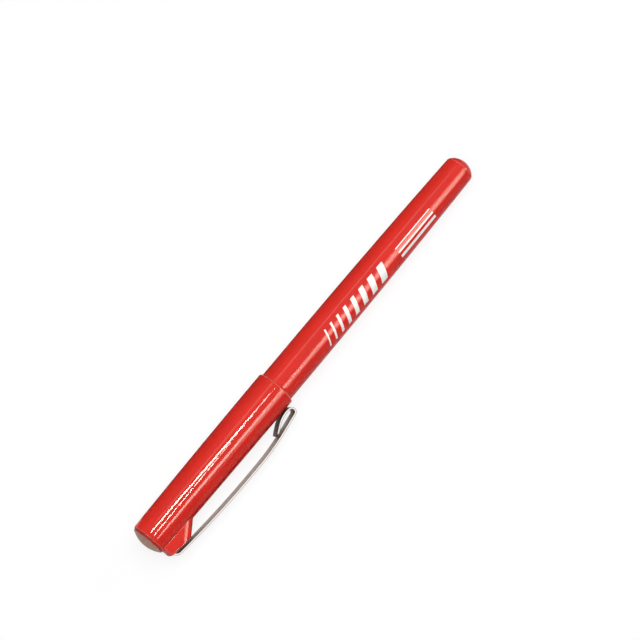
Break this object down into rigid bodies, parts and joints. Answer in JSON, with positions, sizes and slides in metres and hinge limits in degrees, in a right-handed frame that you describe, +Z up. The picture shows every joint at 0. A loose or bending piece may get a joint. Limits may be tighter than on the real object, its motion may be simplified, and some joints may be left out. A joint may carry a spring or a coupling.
{
  "type": "fineliner pen",
  "caption": "Capped fineliner pen with a crowned tapered barrel, a pull-off cap and a folded spring-steel pocket clip, lying on its side.",
  "frame": {"origin": "middle of the pen's footprint, on the table it lies on", "axes": "+X along the pen from the cap's closed end to the tail, +Z up from the table"},
  "size_m": [0.1386, 0.016, 0.0119],
  "materials": {
    "red_plastic": "moulded, fine satin gloss",
    "cap_plastic": "moulded, polished",
    "clip_steel": "bright rolled spring steel",
    "disc_metal": "dull stamped metal",
    "liner_plastic": "natural moulded plastic",
    "grip_plastic": "moulded, fine matt",
    "sleeve_steel": "drawn and polished",
    "nib_plastic": "extruded, ink stained",
    "ink_fibre": "fibre bundle soaked with ink",
    "film_plastic": "thin clear film"
  },
  "bodies": {
    "barrel": {"barrel": "red_plastic", "tail_plug": "red_plastic", "grip_section": "grip_plastic", "nib_sleeve": "sleeve_steel", "nib": "nib_plastic", "ink_feed_rod": "ink_fibre", "ink_reservoir": "ink_fibre", "reservoir_film": "film_plastic"},
    "inner_cap": {"inner_cap": "liner_plastic"},
    "cap": {"cap_shell": "cap_plastic", "cap_end_plug": "cap_plastic", "cap_end_disc": "disc_metal"},
    "clip": {"clip": "clip_steel"}
  },
  "joints": [
    {"name": "cap_slide", "type": "slide", "parent": "barrel", "child": "inner_cap", "axis": [-0.9998, 0, 0.0178], "range_m": [0, 0.055]},
    {"name": "cap_turn", "type": "hinge", "parent": "inner_cap", "child": "cap", "pos_m": [-0.04039, 0.00235, 0.0062], "axis": [-0.9998, 0, 0.0178], "continuous": true},
    {"name": "clip_flex", "type": "hinge", "parent": "cap", "child": "clip", "pos_m": [-0.06619, -0.00443, 0.00389], "axis": [-0.0165, 0.3783, -0.9255], "range_deg": [0, 3], "stiffness_Nm_per_rad": 1.1}
  ]
}
